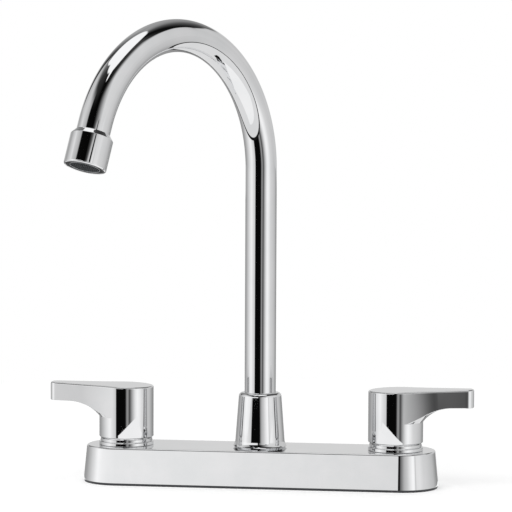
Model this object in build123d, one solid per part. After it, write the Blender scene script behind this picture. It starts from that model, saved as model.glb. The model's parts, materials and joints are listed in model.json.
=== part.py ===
"""Two handle kitchen faucet on an eight inch deck plate, written as one STEP per piece.

Millimetres. The origin is the middle of the deck gasket's underside, which lies on the
sink. +X runs to the cold handle, +Y to the back and +Z up. The spout is drawn swivelled
towards the front left and both levers point outwards, which is the closed position.
"""

import os
from math import acos, cos, degrees, radians, sin, sqrt

from build123d import *

# Sizes that the whole faucet hangs on
VALVE_SPACING = 203.2  # eight inch centres, the standard for this kind
SINK_DECK = 8.0  # sink sheet with its stiffener, held between gasket and washers
SPOUT_AZIMUTH = 240.0  # degrees from +X, the direction in which the spout reaches

# Deck gasket and deck plate
GASKET_THICKNESS = 1.8
PLATE_LENGTH = 267.0
PLATE_WIDTH = 59.0
PLATE_CORNER = 28.0
PLATE_TOP = 27.6
PLATE_DRAFT = 5.6  # degrees
PLATE_WALL = 2.2
PLATE_EDGE = 1.3
RIB_WIDTH = 2.0
GASKET_INSET = 0.5
GASKET_RIM = 3.4

# Lever handles
HUB_RADIUS = 20.4
HUB_BOTTOM = 33.5
HUB_TOP = 72.4
HUB_WALL = 3.0
HUB_ROOF = 66.0
LEVER_LENGTH = 57.8  # hub axis to lever tip
LEVER_TIP_WIDTH = 12.6
LEVER_TAPER = 12.0  # degrees that each side leans in towards the tip
LEVER_BLEND = 70.0  # plan radius between hub and lever
LEVER_TIP_CORNER = 5.5
LEVER_UNDERSIDE = 60.3
LEVER_ARCH = 28.3  # radius of the hollow under the lever
LEVER_ARCH_REACH = 43.0  # where that hollow runs out into the flat underside
LEVER_RISE = 1.5  # degrees that the top face climbs towards the tip
HANDLE_EDGE = 1.2
BOSS_RADIUS = 8.0
BOSS_BOTTOM = 46.5
SCREW_RADIUS = 2.0
SCREW_HEIGHT = 53.0

# Trim rings under the handles
RING_TOP = 32.6
RING_RADIUS = HUB_RADIUS + 0.2

# Valves, from the sink up
SHANK_RADIUS = 10.45  # half inch straight pipe thread
SHANK_BOTTOM = -50.0
SHANK_BORE = 6.5
RELIEF_TOP = -24.0  # groove between the locknut's thread and the supply line's
RELIEF_WIDTH = 2.0
BODY_RADIUS = 14.3
BODY_FLANGE = 18.0
BODY_THREAD = 12.8
BODY_TOP = 38.0
CAVITY_RADIUS = 10.6
CAVITY_BOTTOM = 12.0
NUT_ACROSS_FLATS = 28.0
NUT_BOTTOM = 33.6
NUT_TOP = 43.0
CARTRIDGE_NECK = 6.0
CARTRIDGE_TOP = 45.0
DISC_RADIUS = 8.6
DISC_THICKNESS = 3.0
DISC_BOTTOM = 15.0
STEM_RADIUS = 4.0
BROACH_SIDE = 5.6
STEM_SEAL = 1.5  # section of the ring in the stem's groove
STEM_SEAL_HEIGHT = 34.0
STEM_TOP = 60.0

# Water way under the deck plate
TUBE_HEIGHT = 16.0
TUBE_RADIUS = 6.35
TUBE_BORE = 5.4
TUBE_BOSS = 8.8
TUBE_SOCKET = 4.0

# Spout body, collar and the swivelling end of the spout
NIPPLE_RADIUS = 13.95
NIPPLE_TOP = 50.0
NIPPLE_BORE = 10.5
NIPPLE_FLOOR = 10.0
WASHER_THICKNESS = 1.5
FLANGE_THICKNESS = 2.0
FLANGE_RADIUS = 13.2
SLEEVE_BOTTOM = 24.0
SLEEVE_BORE = 7.6
SLEEVE_SEAL = 1.7
O_RING_HEIGHTS = (30.0, 40.0)
COLLAR_TOP = 68.8
COLLAR_TOP_RADIUS = 15.7
COLLAR_WAIST = 32.8
COLLAR_WAIST_RADIUS = 18.4
COLLAR_LIP_RADIUS = 20.1
COLLAR_LIP = 1.3  # height of the widest line above the plate
COLLAR_SHOULDER = 3.0

# Spout tube and aerator
SPOUT_RADIUS = 11.65
SPOUT_WALL = 0.95
ARCH_START = 235.8
ARCH_RADIUS = 95.8
ARCH_TURN = 160.0  # degrees
OUTLET_LEG = 6.1
AERATOR_RADIUS = SPOUT_RADIUS + 3.15
AERATOR_NECK = SPOUT_RADIUS + 0.65
AERATOR_LENGTH = 24.9
AERATOR_SHOULDER = 3.3
AERATOR_BORE = AERATOR_RADIUS - 1.55
INSERT_RADIUS = AERATOR_BORE - 1.6
SCREEN_RADIUS = INSERT_RADIUS - 1.4
AERATOR_RIM = 1.1
SEAT_DEPTH = 9.0  # from the tube's end to the washer inside the aerator

# Clearances
RUNNING = 0.05  # shaft in a hole, discs face to face
LOOSE = 0.3  # piece through a hole
THREAD = 0.05  # thread modelled as plain cylinders

HALF_SPACING = VALVE_SPACING / 2
SIDES = {"hot": -1, "cold": 1}
SLEEVE_FLANGE = NIPPLE_TOP + WASHER_THICKNESS + RUNNING
COLLAR_STEP = SLEEVE_FLANGE + FLANGE_THICKNESS + RUNNING + WASHER_THICKNESS
SPOUT_BOTTOM = SLEEVE_FLANGE + FLANGE_THICKNESS


def rod(radius, low, high, x=0.0):
    """Upright cylinder between two heights."""
    return Pos(x, 0, (low + high) / 2) * Cylinder(radius, high - low)


def pipe(outer, inner, low, high, x=0.0):
    """Upright cylinder with a hole right through."""
    return rod(outer, low, high, x) - rod(inner, low - 1, high + 1, x)


def level_rod(radius, start, end, height):
    """Cylinder along X between two places, at a height."""
    middle = Pos((start + end) / 2, 0, height)
    return middle * Rot(0, 90, 0) * Cylinder(radius, abs(end - start))


def turned(*points):
    """Solid of revolution about Z from (radius, height) points."""
    profile = make_face(Plane.XZ * Polyline(*points, close=True))
    return revolve(profile, Axis.Z)


# Deck plate and gasket


def tapered_block(inset, low, high, corner):
    """Deck plate outline, drawn in by an inset, and drafted between two heights."""
    size = (PLATE_LENGTH - 2 * inset, PLATE_WIDTH - 2 * inset)
    outline = Pos(0, 0, low) * RectangleRounded(*size, corner - inset)
    return extrude(outline, high - low, taper=PLATE_DRAFT)


def deck_plate():
    outside = tapered_block(0, GASKET_THICKNESS, PLATE_TOP, PLATE_CORNER)
    outside = fillet(outside.faces().sort_by(Axis.Z)[-1].edges(), PLATE_EDGE)
    ceiling = PLATE_TOP - PLATE_WALL
    inside = tapered_block(PLATE_WALL, GASKET_THICKNESS, ceiling, PLATE_CORNER)
    plate = outside - inside
    for x in (-62.0, -30.0, 30.0, 62.0):
        rib = Pos(x, 0, ceiling) * Box(RIB_WIDTH, PLATE_WIDTH, 2 * (ceiling - 7.0))
        plate += (rib & inside) - level_rod(TUBE_RADIUS + 1.2, x - 5, x + 5, TUBE_HEIGHT)
    for side in SIDES.values():
        plate -= rod(BODY_RADIUS + LOOSE, 20, 30, side * HALF_SPACING)
    return plate - rod(NIPPLE_RADIUS + LOOSE, 20, 30)


def deck_gasket():
    """Flat pad under the plate, with a rim that centres it inside the shell."""
    pad = RectangleRounded(PLATE_LENGTH - 2 * GASKET_INSET, PLATE_WIDTH - 2 * GASKET_INSET,
                           PLATE_CORNER - GASKET_INSET)
    gasket = extrude(pad, GASKET_THICKNESS)
    edge = PLATE_WALL + 0.1
    rim_top = GASKET_THICKNESS + GASKET_RIM
    rim = tapered_block(edge, GASKET_THICKNESS, rim_top, PLATE_CORNER)
    rim -= tapered_block(edge + 1.6, GASKET_THICKNESS, rim_top, PLATE_CORNER)
    gasket += rim
    for side in SIDES.values():
        gasket -= rod(SHANK_RADIUS + LOOSE, -1, 3, side * HALF_SPACING)
    return gasket


# Water way


def tube_boss(x, side, reach):
    """Round boss that takes the end of a cross tube, on the side towards it."""
    return level_rod(TUBE_BOSS, x, x + side * reach, TUBE_HEIGHT)


def crossover_tube(side):
    start = side * (NIPPLE_RADIUS + 4.0)
    end = side * (HALF_SPACING - BODY_RADIUS - 4.0 + TUBE_SOCKET)
    tube = level_rod(TUBE_RADIUS, start, end, TUBE_HEIGHT)
    return tube - level_rod(TUBE_BORE, start - side, end + side, TUBE_HEIGHT)


def spout_body():
    """Centre casting: blind well for the swivel, fed from both sides."""
    ceiling = PLATE_TOP - PLATE_WALL
    body = rod(NIPPLE_RADIUS + 3.0, GASKET_THICKNESS, ceiling)
    body += rod(NIPPLE_RADIUS, ceiling, NIPPLE_TOP)
    for side in SIDES.values():
        body += tube_boss(0, side, NIPPLE_RADIUS + 8.0)
    body -= rod(NIPPLE_BORE, NIPPLE_FLOOR, NIPPLE_TOP + 1)
    for side in SIDES.values():
        socket = side * (NIPPLE_RADIUS + 4.0)
        body -= level_rod(TUBE_RADIUS + 0.02, socket, socket + side * 9, TUBE_HEIGHT)
        body -= level_rod(TUBE_BORE, 0, socket, TUBE_HEIGHT)
    return body


def valve_body(side):
    """Turned brass body: threaded shank below the sink, cartridge well above it."""
    x = side * HALF_SPACING
    ceiling = PLATE_TOP - PLATE_WALL
    body = rod(SHANK_RADIUS, SHANK_BOTTOM, GASKET_THICKNESS, x)
    body -= pipe(SHANK_RADIUS + 1, SHANK_RADIUS - 0.9, RELIEF_TOP - RELIEF_WIDTH, RELIEF_TOP, x)
    body += rod(BODY_FLANGE, GASKET_THICKNESS, 6.0, x)
    body += rod(BODY_RADIUS, 6.0, RING_TOP - 1.0, x)
    body += rod(BODY_RADIUS + 3.0, ceiling - 3.0, ceiling, x)
    body += rod(BODY_THREAD, RING_TOP - 1.0, BODY_TOP, x)
    body += tube_boss(x, -side, BODY_RADIUS + 4.0)
    body -= rod(CAVITY_RADIUS, CAVITY_BOTTOM, BODY_TOP + 1, x)
    body -= rod(SHANK_BORE, SHANK_BOTTOM - 1, CAVITY_BOTTOM + 1, x)
    mouth = x - side * (BODY_RADIUS + 4.0)
    body -= level_rod(TUBE_RADIUS + 0.02, mouth - side, mouth + side * TUBE_SOCKET, TUBE_HEIGHT)
    body -= level_rod(TUBE_BORE, mouth, x, TUBE_HEIGHT)
    body = chamfer(body.edges().group_by(Axis.Z)[0].sort_by(SortBy.LENGTH)[-1], 1.0)
    return body


def mounting_washer(side):
    return pipe(19.5, SHANK_RADIUS + LOOSE, -SINK_DECK - 2.0, -SINK_DECK, side * HALF_SPACING)


def locknut(side):
    """Winged plastic nut that is turned up by hand against the washer."""
    top = -SINK_DECK - 2.0
    nut = rod(15.5, top - 13.0, top)
    nut += rod(18.5, top - 3.0, top)
    for turn in (0, 90, 180, 270):
        wing = Pos(19.0, 0, top - 6.5) * Box(16.0, 3.6, 13.0)
        nut += Rot(0, 0, 45 + turn) * fillet(wing.edges().filter_by(Axis.Y), 2.0)
    nut -= rod(SHANK_RADIUS + THREAD, top - 14, top + 1)
    return Pos(side * HALF_SPACING, 0, 0) * nut


# Valve cartridge


def seat_seal(side):
    return pipe(9.4, 5.2, CAVITY_BOTTOM, DISC_BOTTOM, side * HALF_SPACING)


def cartridge_shell(side):
    """Sleeve round the discs, with windows for the outlet and a neck for the stem."""
    shell = rod(CAVITY_RADIUS - THREAD, CAVITY_BOTTOM, CAVITY_BOTTOM + 1.6)
    shell += rod(9.9, CAVITY_BOTTOM, 30.0)
    shell += rod(CAVITY_RADIUS - THREAD, 30.0, BODY_TOP)
    shell += rod(BODY_THREAD - 0.4, BODY_TOP, BODY_TOP + 1.5)
    shell += rod(CARTRIDGE_NECK, BODY_TOP + 1.5, CARTRIDGE_TOP)
    shell -= rod(9.42, CAVITY_BOTTOM - 1, DISC_BOTTOM)
    shell -= rod(DISC_RADIUS + RUNNING, DISC_BOTTOM - 1, 26.0)
    shell -= rod(STEM_RADIUS + RUNNING, 20, CARTRIDGE_TOP + 1)
    window_floor = DISC_BOTTOM + DISC_THICKNESS
    window = Pos(0, 0, window_floor + 2.0) * Box(9.0, 30.0, 3.4)
    return Pos(side * HALF_SPACING, 0, 0) * (shell - window)


def ported_disc(low, opening, turn):
    """Ceramic disc with a pair of opposite sector ports."""
    disc = rod(DISC_RADIUS, low, low + DISC_THICKNESS)
    port = Circle(6.8) - Circle(2.0)
    half = opening / 2
    wedge = make_face(Polyline((0, 0), (12 * cos(radians(half)), 12 * sin(radians(half))), (14, 0),
                               (12 * cos(radians(half)), -12 * sin(radians(half))), close=True))
    for extra in (0, 180):
        sector = port & (Rot(0, 0, turn + extra) * wedge)
        disc -= extrude(Pos(0, 0, low - 1) * sector, DISC_THICKNESS + 2)
    return disc


def fixed_disc(side):
    return Pos(side * HALF_SPACING, 0, 0) * ported_disc(DISC_BOTTOM, 75, 0)


def moving_disc(side):
    """Closed over the fixed disc's ports until the lever is turned."""
    low = DISC_BOTTOM + DISC_THICKNESS + RUNNING
    return Pos(side * HALF_SPACING, 0, 0) * ported_disc(low, 75, 90)


def broach(side_length, low, high):
    """Eight pointed drive: two squares, one turned by 45 degrees."""
    star = Rectangle(side_length, side_length) + Rot(0, 0, 45) * Rectangle(side_length, side_length)
    return extrude(Pos(0, 0, low) * star, high - low)


def valve_stem(side):
    low = DISC_BOTTOM + 2 * DISC_THICKNESS + RUNNING
    stem = rod(DISC_RADIUS - 0.4, low, 25.8)
    stem += rod(STEM_RADIUS, 25.8, BOSS_BOTTOM)
    stem += broach(BROACH_SIDE, BOSS_BOTTOM, STEM_TOP)
    stem -= pipe(STEM_RADIUS + 1, STEM_RADIUS - STEM_SEAL, STEM_SEAL_HEIGHT - 1.0, STEM_SEAL_HEIGHT + 1.0)
    return Pos(side * HALF_SPACING, 0, 0) * stem


def seal_ring(radius, section, height, x=0.0):
    """Rubber ring in its groove, with an eight sided section."""
    profile = Plane.XZ * Pos(radius, 0) * Rot(0, 0, 22.5) * RegularPolygon(section / 2, 8)
    return Pos(x, 0, height) * revolve(profile, Axis.Z)


def stem_seal(side):
    place = side * HALF_SPACING
    return seal_ring(STEM_RADIUS - STEM_SEAL / 2, STEM_SEAL, STEM_SEAL_HEIGHT, place)


def bonnet_nut(side):
    nut = extrude(Pos(0, 0, NUT_BOTTOM) * RegularPolygon(NUT_ACROSS_FLATS / 2, 6, major_radius=False),
                  NUT_TOP - NUT_BOTTOM)
    crown = turned((0, NUT_BOTTOM), (16.4, NUT_BOTTOM), (16.4, NUT_TOP - 1.6), (14.2, NUT_TOP),
                   (0, NUT_TOP))
    nut &= crown
    nut -= rod(BODY_THREAD + THREAD, NUT_BOTTOM - 1, BODY_TOP + 1.5)
    nut -= rod(CARTRIDGE_NECK + LOOSE, NUT_BOTTOM, NUT_TOP + 1)
    return Pos(side * HALF_SPACING, 0, 0) * nut


def trim_ring(side):
    """Bead under the handle, screwed down the valve body onto the deck plate."""
    bead = (RING_TOP - PLATE_TOP) / 2
    middle = RING_RADIUS - bead
    with BuildSketch(Plane.XZ) as profile:
        with BuildLine():
            CenterArc((middle, PLATE_TOP + bead), bead, -90, 180)
            Polyline((middle, RING_TOP), (0, RING_TOP), (0, PLATE_TOP), (middle, PLATE_TOP))
        make_face()
    ring = revolve(profile.sketch, Axis.Z)
    ring -= rod(BODY_RADIUS + THREAD, PLATE_TOP - 1, RING_TOP - 1.0)
    ring -= rod(BODY_THREAD + LOOSE, PLATE_TOP - 1, RING_TOP + 1)
    return Pos(side * HALF_SPACING, 0, 0) * ring


# Lever handle


def lever_plan():
    """Half outline of the lever: blended out of the hub, tapered, rounded at the tip."""
    taper = radians(LEVER_TAPER)
    tip = LEVER_LENGTH
    corner = LEVER_TIP_CORNER
    side_offset = tip * sin(taper) + LEVER_TIP_WIDTH / 2 * cos(taper)
    reach = HUB_RADIUS + LEVER_BLEND
    lean = acos((LEVER_BLEND + side_offset) / reach) + taper
    centre = (reach * sin(lean), reach * cos(lean))
    on_hub = (HUB_RADIUS * sin(lean), HUB_RADIUS * cos(lean))
    tip_y = (side_offset - corner - sin(taper) * (tip - corner)) / cos(taper)
    blend_end = (centre[0] - LEVER_BLEND * sin(taper), centre[1] - LEVER_BLEND * cos(taper))
    side_end = (tip - corner + corner * sin(taper), tip_y + corner * cos(taper))
    with BuildSketch() as plan:
        with BuildLine():
            CenterArc(centre, LEVER_BLEND, 270 - LEVER_TAPER, LEVER_TAPER - degrees(lean))
            Line(blend_end, side_end)
            CenterArc((tip - corner, tip_y), corner, 0, 90 - LEVER_TAPER)
            Polyline((tip, tip_y), (tip, 0), (0, 0), on_hub)
        make_face()
        mirror(about=Plane.XZ)
        Circle(HUB_RADIUS)
    return plan.sketch


def underside_sweep():
    """Everything below the lever's hollow underside, turned about the hub's axis."""
    floor = HUB_BOTTOM - 1
    centre = (LEVER_ARCH_REACH, LEVER_UNDERSIDE - LEVER_ARCH)
    drop = LEVER_ARCH_REACH - HUB_RADIUS
    meets_hub = centre[1] + sqrt(LEVER_ARCH**2 - drop**2)
    half = radians(45)
    middle = (centre[0] - LEVER_ARCH * sin(half) * 0.6,
              centre[1] + sqrt(LEVER_ARCH**2 - (LEVER_ARCH * sin(half) * 0.6) ** 2))
    far = LEVER_LENGTH + 12
    with BuildSketch(Plane.XZ) as profile:
        with BuildLine():
            ThreePointArc((HUB_RADIUS, meets_hub), middle, (LEVER_ARCH_REACH, LEVER_UNDERSIDE))
            Polyline((LEVER_ARCH_REACH, LEVER_UNDERSIDE), (far, LEVER_UNDERSIDE), (far, floor),
                     (HUB_RADIUS, floor), (HUB_RADIUS, meets_hub))
        make_face()
    return revolve(profile.sketch, Axis.Z)


def handle_outside():
    blank = extrude(Pos(0, 0, HUB_BOTTOM) * lever_plan(), HUB_TOP + 4 - HUB_BOTTOM)
    blank -= underside_sweep()
    top = Plane(origin=(0, 0, HUB_TOP), z_dir=(-sin(radians(LEVER_RISE)), 0, cos(radians(LEVER_RISE))))
    blank = split(blank, bisect_by=top, keep=Keep.BOTTOM)
    blank = fillet(blank.faces().sort_by(Axis.Z)[-1].edges(), HANDLE_EDGE)
    hub_rim = blank.faces().sort_by(Axis.Z)[0].edges()
    return fillet(hub_rim, 0.7)


def handle(side):
    """Cast lever handle: hollow hub, broached boss and a rib for the set screw."""
    shape = handle_outside()
    shape -= rod(HUB_RADIUS - HUB_WALL, HUB_BOTTOM - 1, HUB_ROOF)
    boss = rod(BOSS_RADIUS, BOSS_BOTTOM, HUB_ROOF + 1)
    rib = Pos(0, (HUB_RADIUS - 1) / 2, (BOSS_BOTTOM + 1 + HUB_ROOF) / 2)
    boss += rib * Box(9.0, HUB_RADIUS - 1, HUB_ROOF - BOSS_BOTTOM - 1)
    for turn in (180, 300):
        web = Pos(0, (HUB_RADIUS - 1) / 2, (BOSS_BOTTOM + 8 + HUB_ROOF) / 2)
        boss += Rot(0, 0, turn) * web * Box(2.2, HUB_RADIUS - 1, HUB_ROOF - BOSS_BOTTOM - 8)
    shape += boss
    shape -= broach(BROACH_SIDE, BOSS_BOTTOM - 1, STEM_TOP + 0.5)
    bore = Pos(0, HUB_RADIUS / 2 + 1, SCREW_HEIGHT) * Rot(90, 0, 0)
    shape -= bore * Cylinder(SCREW_RADIUS + THREAD, HUB_RADIUS + 2)
    turn = 0 if side > 0 else 180
    if turn:
        shape = mirror(shape, about=Plane.YZ)
    return Pos(side * HALF_SPACING, 0, 0) * shape


def set_screw(side):
    """Headless screw that bites on the stem, reached from the back of the hub."""
    inner = BROACH_SIDE / sqrt(2)
    length = 9.0
    screw = Cylinder(SCREW_RADIUS, length) - Pos(0, 0, -length / 2) * extrude(
        RegularPolygon(1.0, 6), 2.5)
    place = Pos(side * HALF_SPACING, inner + length / 2, SCREW_HEIGHT)
    return place * Rot(90, 0, 0) * screw


# Spout collar, swivel and tube


def spout_collar():
    """Bell shaped nut: hides the swivel and keeps the spout's flange down."""
    lip = (COLLAR_LIP_RADIUS, PLATE_TOP + COLLAR_LIP)
    waist = (COLLAR_WAIST_RADIUS, COLLAR_WAIST)
    with BuildSketch(Plane.XZ) as profile:
        with BuildLine():
            Line((0, PLATE_TOP), (COLLAR_LIP_RADIUS - 0.9, PLATE_TOP))
            Line((COLLAR_LIP_RADIUS - 0.9, PLATE_TOP), lip)
            down = (waist[0] - COLLAR_TOP_RADIUS, waist[1] - COLLAR_TOP)
            TangentArc(waist, lip, tangent=down)
            Line(waist, (COLLAR_TOP_RADIUS, COLLAR_TOP))
            Line((COLLAR_TOP_RADIUS, COLLAR_TOP), (0, COLLAR_TOP))
            Line((0, COLLAR_TOP), (0, PLATE_TOP))
        make_face()
    collar = revolve(profile.sketch, Axis.Z)
    collar = fillet(collar.faces().sort_by(Axis.Z)[-1].edges(), COLLAR_SHOULDER)
    collar -= rod(NIPPLE_RADIUS + THREAD, PLATE_TOP - 1, COLLAR_STEP)
    return collar - rod(SPOUT_RADIUS + 0.15, PLATE_TOP, COLLAR_TOP + 1)


def lower_thrust_washer():
    return pipe(13.5, NIPPLE_BORE, NIPPLE_TOP, NIPPLE_TOP + WASHER_THICKNESS)


def upper_thrust_washer():
    low = SPOUT_BOTTOM + RUNNING
    return pipe(13.5, SPOUT_RADIUS + 0.15, low, low + WASHER_THICKNESS)


def spout_sleeve():
    """Brass end of the spout: seals in the well, flange, and plug into the tube."""
    sleeve = rod(NIPPLE_BORE - RUNNING, SLEEVE_BOTTOM, SLEEVE_FLANGE)
    sleeve += rod(FLANGE_RADIUS, SLEEVE_FLANGE, SPOUT_BOTTOM)
    sleeve += rod(SPOUT_RADIUS - SPOUT_WALL, SPOUT_BOTTOM, SPOUT_BOTTOM + 14)
    sleeve -= rod(SLEEVE_BORE, SLEEVE_BOTTOM - 1, SPOUT_BOTTOM + 15)
    for height in O_RING_HEIGHTS:
        groove = NIPPLE_BORE - RUNNING - SLEEVE_SEAL
        sleeve -= pipe(NIPPLE_BORE + 1, groove, height - 1.2, height + 1.2)
    return sleeve


def sleeve_seal(height):
    return seal_ring(NIPPLE_BORE - RUNNING - SLEEVE_SEAL / 2, SLEEVE_SEAL, height)


def arch_frame():
    """Turns the XZ plane in which the spout is drawn to the side it reaches to."""
    return Rot(0, 0, SPOUT_AZIMUTH)


def outlet_frame():
    """Place at the tube's end, with Z along the way the water leaves."""
    turn = radians(ARCH_TURN)
    reach = ARCH_RADIUS * (1 - cos(turn)) + OUTLET_LEG * sin(turn)
    height = ARCH_START + ARCH_RADIUS * sin(turn) + OUTLET_LEG * cos(turn)
    return arch_frame() * Pos(reach, 0, height) * Rot(0, ARCH_TURN, 0)


def swept_rod(radius):
    """Solid bar along the spout's line: riser, arch and short outlet leg."""
    turn = radians(ARCH_TURN)
    with BuildLine(Plane.XZ) as path:
        riser = Line((0, SPOUT_BOTTOM), (0, ARCH_START))
        arch = CenterArc((ARCH_RADIUS, ARCH_START), ARCH_RADIUS, 180, -ARCH_TURN)
        leg = (OUTLET_LEG * sin(turn), OUTLET_LEG * cos(turn))
        Line(arch @ 1, (arch @ 1) + Vector(leg[0], 0, leg[1]))
    section = Pos(0, 0, SPOUT_BOTTOM) * Circle(radius)
    return sweep(section, path=path.line)


def spout_tube():
    return arch_frame() * (swept_rod(SPOUT_RADIUS) - swept_rod(SPOUT_RADIUS - SPOUT_WALL))


def outlet_adaptor():
    """Threaded ferrule brazed into the tube's end."""
    thread = rod(AERATOR_NECK - 0.9, 0, SEAT_DEPTH - 0.2)
    plug = rod(SPOUT_RADIUS - SPOUT_WALL, -OUTLET_LEG, 0)
    return outlet_frame() * (thread + plug - rod(AERATOR_NECK - 3.3, -9, SEAT_DEPTH))


def aerator_housing():
    end = AERATOR_LENGTH
    shell = turned((0, 0.05), (AERATOR_NECK, 0.05), (AERATOR_NECK + 0.25, 0.5),
                   (AERATOR_RADIUS, AERATOR_SHOULDER), (AERATOR_RADIUS, end), (0, end))
    shell = fillet(shell.faces().sort_by(Axis.Z)[-1].edges(), AERATOR_RIM)
    shell -= rod(AERATOR_NECK - 0.85, -1, SEAT_DEPTH)
    shell -= rod(AERATOR_BORE, SEAT_DEPTH, end + 1)
    return outlet_frame() * shell


def aerator_washer():
    return outlet_frame() * pipe(AERATOR_BORE - 0.1, AERATOR_BORE - 4.3, SEAT_DEPTH, SEAT_DEPTH + 1.8)


def aerator_insert():
    """Plastic mixing cup: flange on the washer, ribbed skirt, holes for the air."""
    low = SEAT_DEPTH + 1.8
    end = AERATOR_LENGTH - 0.9
    cup = rod(AERATOR_BORE - 0.1, low, low + 2.0)
    cup += rod(INSERT_RADIUS, low, end)
    cup -= rod(SCREEN_RADIUS + 0.05, low + 3.0, end + 1)
    for place in PolarLocations(6.2, 6):
        cup -= place * rod(1.1, low - 1, low + 4)
    bar_top = end - 2.4
    for turn in range(0, 180, 60):
        bar = Pos(0, 0, (low + 3.0 + bar_top) / 2)
        cup += Rot(0, 0, turn) * bar * Box(2 * SCREEN_RADIUS + 0.2, 0.9, bar_top - low - 3.0)
    return outlet_frame() * cup


def aerator_screen():
    """Fine woven screen at the mouth, drawn as a thin disc: its mesh is a texture."""
    end = AERATOR_LENGTH - 0.9
    return outlet_frame() * rod(SCREEN_RADIUS, end - 2.4, end - 1.6)


def aerator_seal():
    """Black ring between the housing and the insert, seen from below."""
    end = AERATOR_LENGTH - 1.5
    return outlet_frame() * pipe(AERATOR_BORE - 0.02, INSERT_RADIUS + 0.02, end - 3.0, end)


def pieces():
    yield "deck_gasket", deck_gasket()
    yield "deck_plate", deck_plate()
    yield "spout_body", spout_body()
    yield "spout_collar", spout_collar()
    yield "lower_thrust_washer", lower_thrust_washer()
    yield "upper_thrust_washer", upper_thrust_washer()
    yield "spout_sleeve", spout_sleeve()
    yield "lower_o_ring", sleeve_seal(O_RING_HEIGHTS[0])
    yield "upper_o_ring", sleeve_seal(O_RING_HEIGHTS[1])
    yield "spout_tube", spout_tube()
    yield "outlet_adaptor", outlet_adaptor()
    yield "aerator_housing", aerator_housing()
    yield "aerator_washer", aerator_washer()
    yield "aerator_insert", aerator_insert()
    yield "aerator_screen", aerator_screen()
    yield "aerator_seal", aerator_seal()
    makers = {
        "crossover_tube": crossover_tube,
        "valve_body": valve_body,
        "mounting_washer": mounting_washer,
        "locknut": locknut,
        "seat_seal": seat_seal,
        "cartridge_shell": cartridge_shell,
        "fixed_disc": fixed_disc,
        "moving_disc": moving_disc,
        "valve_stem": valve_stem,
        "stem_seal": stem_seal,
        "bonnet_nut": bonnet_nut,
        "trim_ring": trim_ring,
        "handle": handle,
        "set_screw": set_screw,
    }
    for name, side in SIDES.items():
        for piece, make in makers.items():
            yield f"{name}_{piece}", make(side)


def main():
    os.makedirs("parts", exist_ok=True)
    for node, shape in pieces():
        solids = shape.solids()
        box = shape.bounding_box()
        size = " x ".join(f"{value:.1f}" for value in box.size)
        print(f"{node:22s} {len(solids)} solid, {shape.volume / 1000:8.2f} cm3, {size} mm")
        export_step(shape, f"parts/{node}.step")


main()
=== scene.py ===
# %% [markdown]
# # Two handle kitchen faucet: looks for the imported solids
# The solids of the faucet come packed in one frame, in metres, with Z up. This lesson dresses
# them: it rebuilds what shows as smooth meshes, gives every piece the finish of the real
# one, and sets up a plain studio. Chrome has next to no colour of its own, so half of its
# look is the shape of the metal and the other half is the room that it mirrors.

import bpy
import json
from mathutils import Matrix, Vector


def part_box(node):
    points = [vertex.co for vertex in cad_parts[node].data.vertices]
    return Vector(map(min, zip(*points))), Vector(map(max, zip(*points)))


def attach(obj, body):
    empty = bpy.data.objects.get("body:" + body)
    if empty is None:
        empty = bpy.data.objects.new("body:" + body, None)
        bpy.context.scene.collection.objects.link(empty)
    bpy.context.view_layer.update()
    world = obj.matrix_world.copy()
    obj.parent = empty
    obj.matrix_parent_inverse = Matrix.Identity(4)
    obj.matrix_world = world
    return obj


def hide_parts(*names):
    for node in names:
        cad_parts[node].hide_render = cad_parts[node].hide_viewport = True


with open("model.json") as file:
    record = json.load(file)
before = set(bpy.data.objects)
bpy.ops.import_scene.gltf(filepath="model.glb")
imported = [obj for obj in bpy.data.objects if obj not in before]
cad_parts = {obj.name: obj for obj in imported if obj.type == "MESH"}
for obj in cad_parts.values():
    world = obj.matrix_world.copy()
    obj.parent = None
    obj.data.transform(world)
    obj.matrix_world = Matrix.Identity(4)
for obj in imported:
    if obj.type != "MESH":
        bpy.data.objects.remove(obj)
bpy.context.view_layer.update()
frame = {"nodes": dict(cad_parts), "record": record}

# %% [markdown]
# The solids are true to a hundredth of a millimetre, but their meshes are loose triangles,
# and a mirror finish shows every facet. So each chrome piece is made again from its
# own sizes, with edges cut finely where it bends and not at all where it is flat.
# One helper turns points in millimetres into an object that sits at the origin.

# %% Helpers: a piece from points in millimetres, and the points of a circle
import json
from functools import partial
from math import acos, cos, pi, radians, sin, sqrt, tan

import bmesh
import bpy
from mathutils import Matrix, Vector

MM = 0.001
MERGE_DISTANCE = 1e-7  # in metres: points that fall together become one


def piece_from(name, points, faces):
    mesh = bpy.data.meshes.new(name)
    mesh.from_pydata([[value * MM for value in point] for point in points], [], faces)
    piece = bpy.data.objects.new(name, mesh)
    bpy.context.scene.collection.objects.link(piece)
    return piece


def circle(radius, sides, x=0.0):
    """Points of a circle round (x, 0), counter-clockwise."""
    angles = [2 * pi * i / sides for i in range(sides)]
    return [(x + radius * cos(angle), radius * sin(angle)) for angle in angles]


# %% [markdown]
# Every chrome piece is a skin through rings of points: a turned piece has round rings, the
# plate rounded rectangles and the handle its own outline. Walking up the outside and down
# the inside with rings that run counter-clockwise makes all faces point outwards, so no
# normal has to be turned afterwards.

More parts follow.
